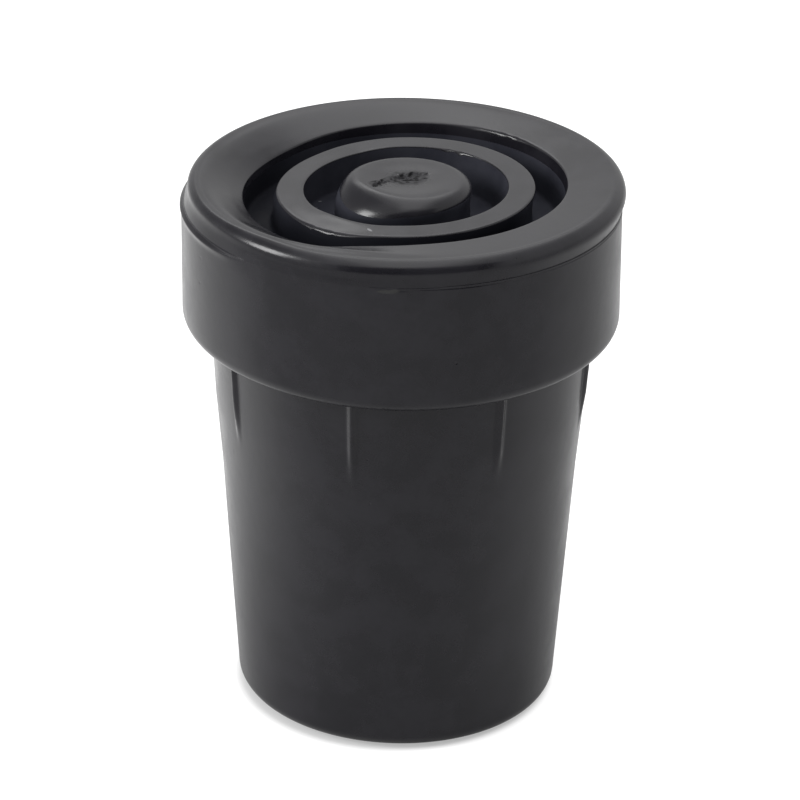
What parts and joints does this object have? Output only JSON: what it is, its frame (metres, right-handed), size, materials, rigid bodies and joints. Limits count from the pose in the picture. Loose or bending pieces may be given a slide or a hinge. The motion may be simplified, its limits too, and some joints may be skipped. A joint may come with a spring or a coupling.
{
  "type": "rubber cane tip",
  "caption": "Black rubber foot for a walking cane: tapered sleeve with a blind socket under a thick round foot with concentric tread rings.",
  "frame": {"origin": "centre of the mouth of the sleeve, at the bottom of the part as it stands", "axes": "+Z along the socket's axis from the mouth to the tread; -Y is the front; +X is the side to which the upper mould half is shifted"},
  "size_m": [0.0384, 0.0384, 0.0487],
  "materials": {
    "rubber": "satin moulded rubber"
  },
  "bodies": {
    "root": {"cane_tip": "rubber"}
  },
  "joints": []
}
